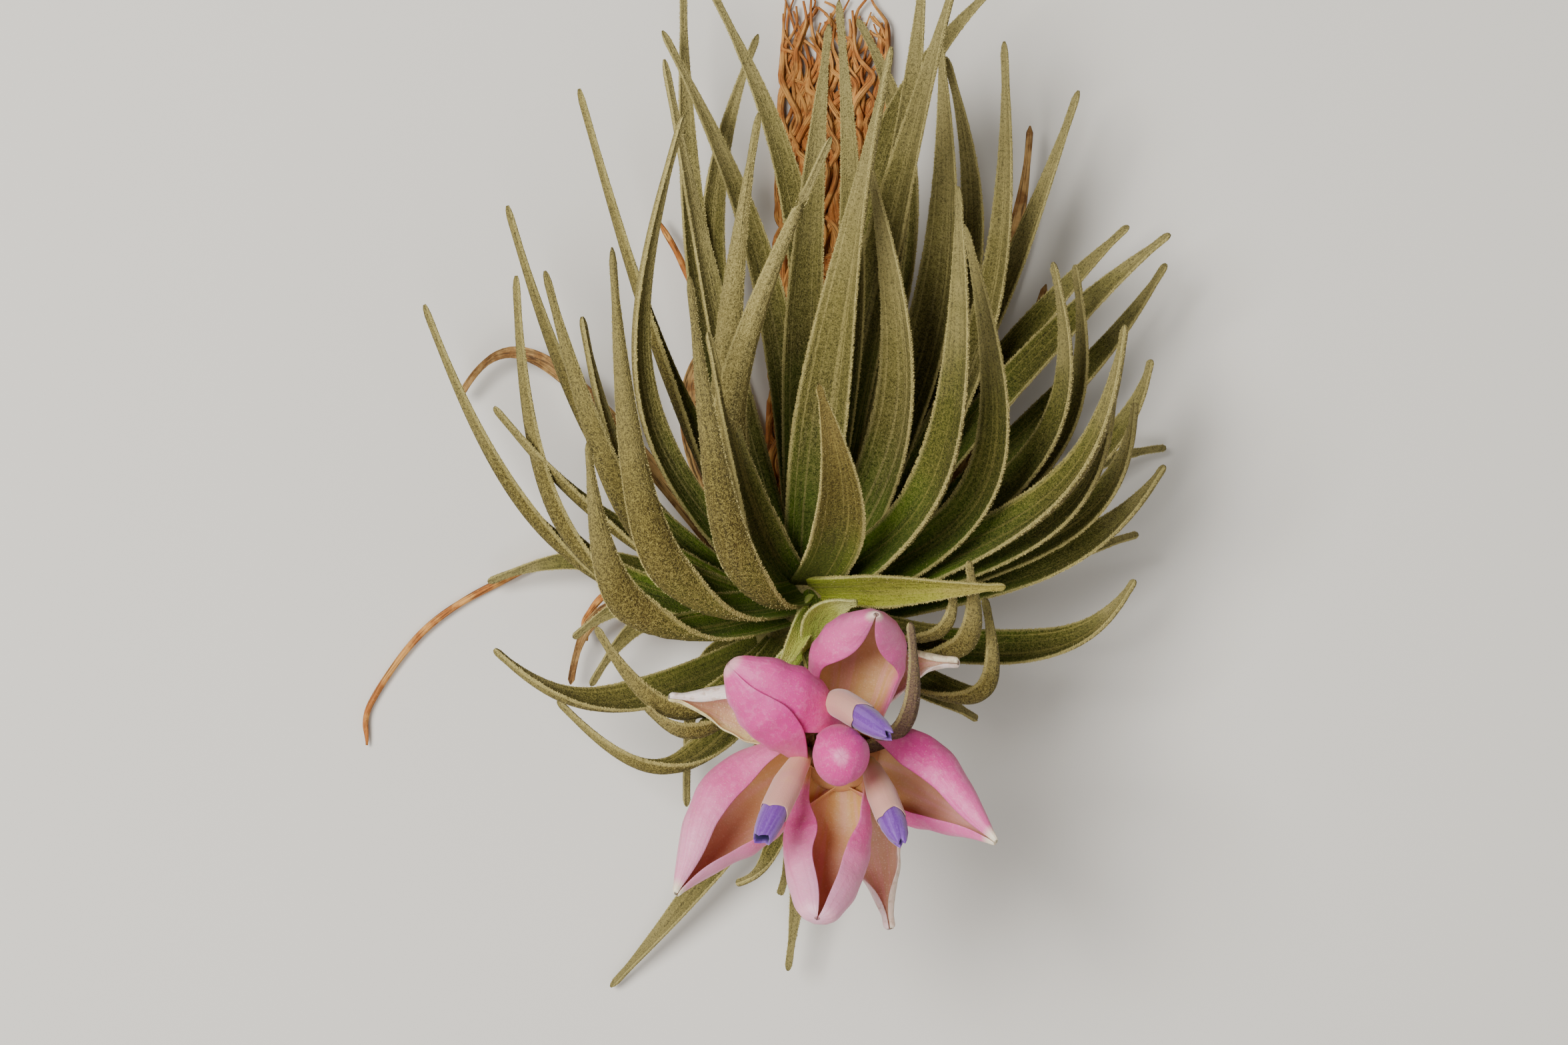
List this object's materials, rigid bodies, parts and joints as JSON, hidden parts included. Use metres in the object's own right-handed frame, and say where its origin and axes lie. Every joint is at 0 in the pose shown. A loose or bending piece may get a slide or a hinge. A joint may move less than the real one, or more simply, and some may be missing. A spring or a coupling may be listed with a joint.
{
  "type": "tillandsia carminea",
  "caption": "Small silver-green air plant in flower, as picked: a rosette of up-swept channelled leaves, pink flower head with violet-tipped tubes, and a wiry root mat that it rests on.",
  "frame": {"origin": "middle of the plant's box, on the surface that it rests on", "axes": "+Z up, out of the open face of the rosette; +Y the way the leaves sweep; +X to the right when looking down on the flower with +Y up"},
  "size_m": [0.1024, 0.1287, 0.0635],
  "materials": {
    "root": "orange-brown wiry roots, dry and fibrous",
    "dry_leaf": "dead brown leaf, papery and matt",
    "leaf": "green leaf under a velvety coat of silver scales, matt, pale along the edges",
    "bract": "soft waxy pink petal-like bract, paler to a cream tip, peach inside",
    "corolla": "cream tube with a violet tip, soft satin"
  },
  "bodies": {
    "root": {"roots": "root", "old_stem": "dry_leaf", "rosette": "leaf", "flower_head": "bract", "corolla_upper": "corolla", "corolla_left": "corolla", "corolla_right": "corolla"}
  },
  "joints": []
}
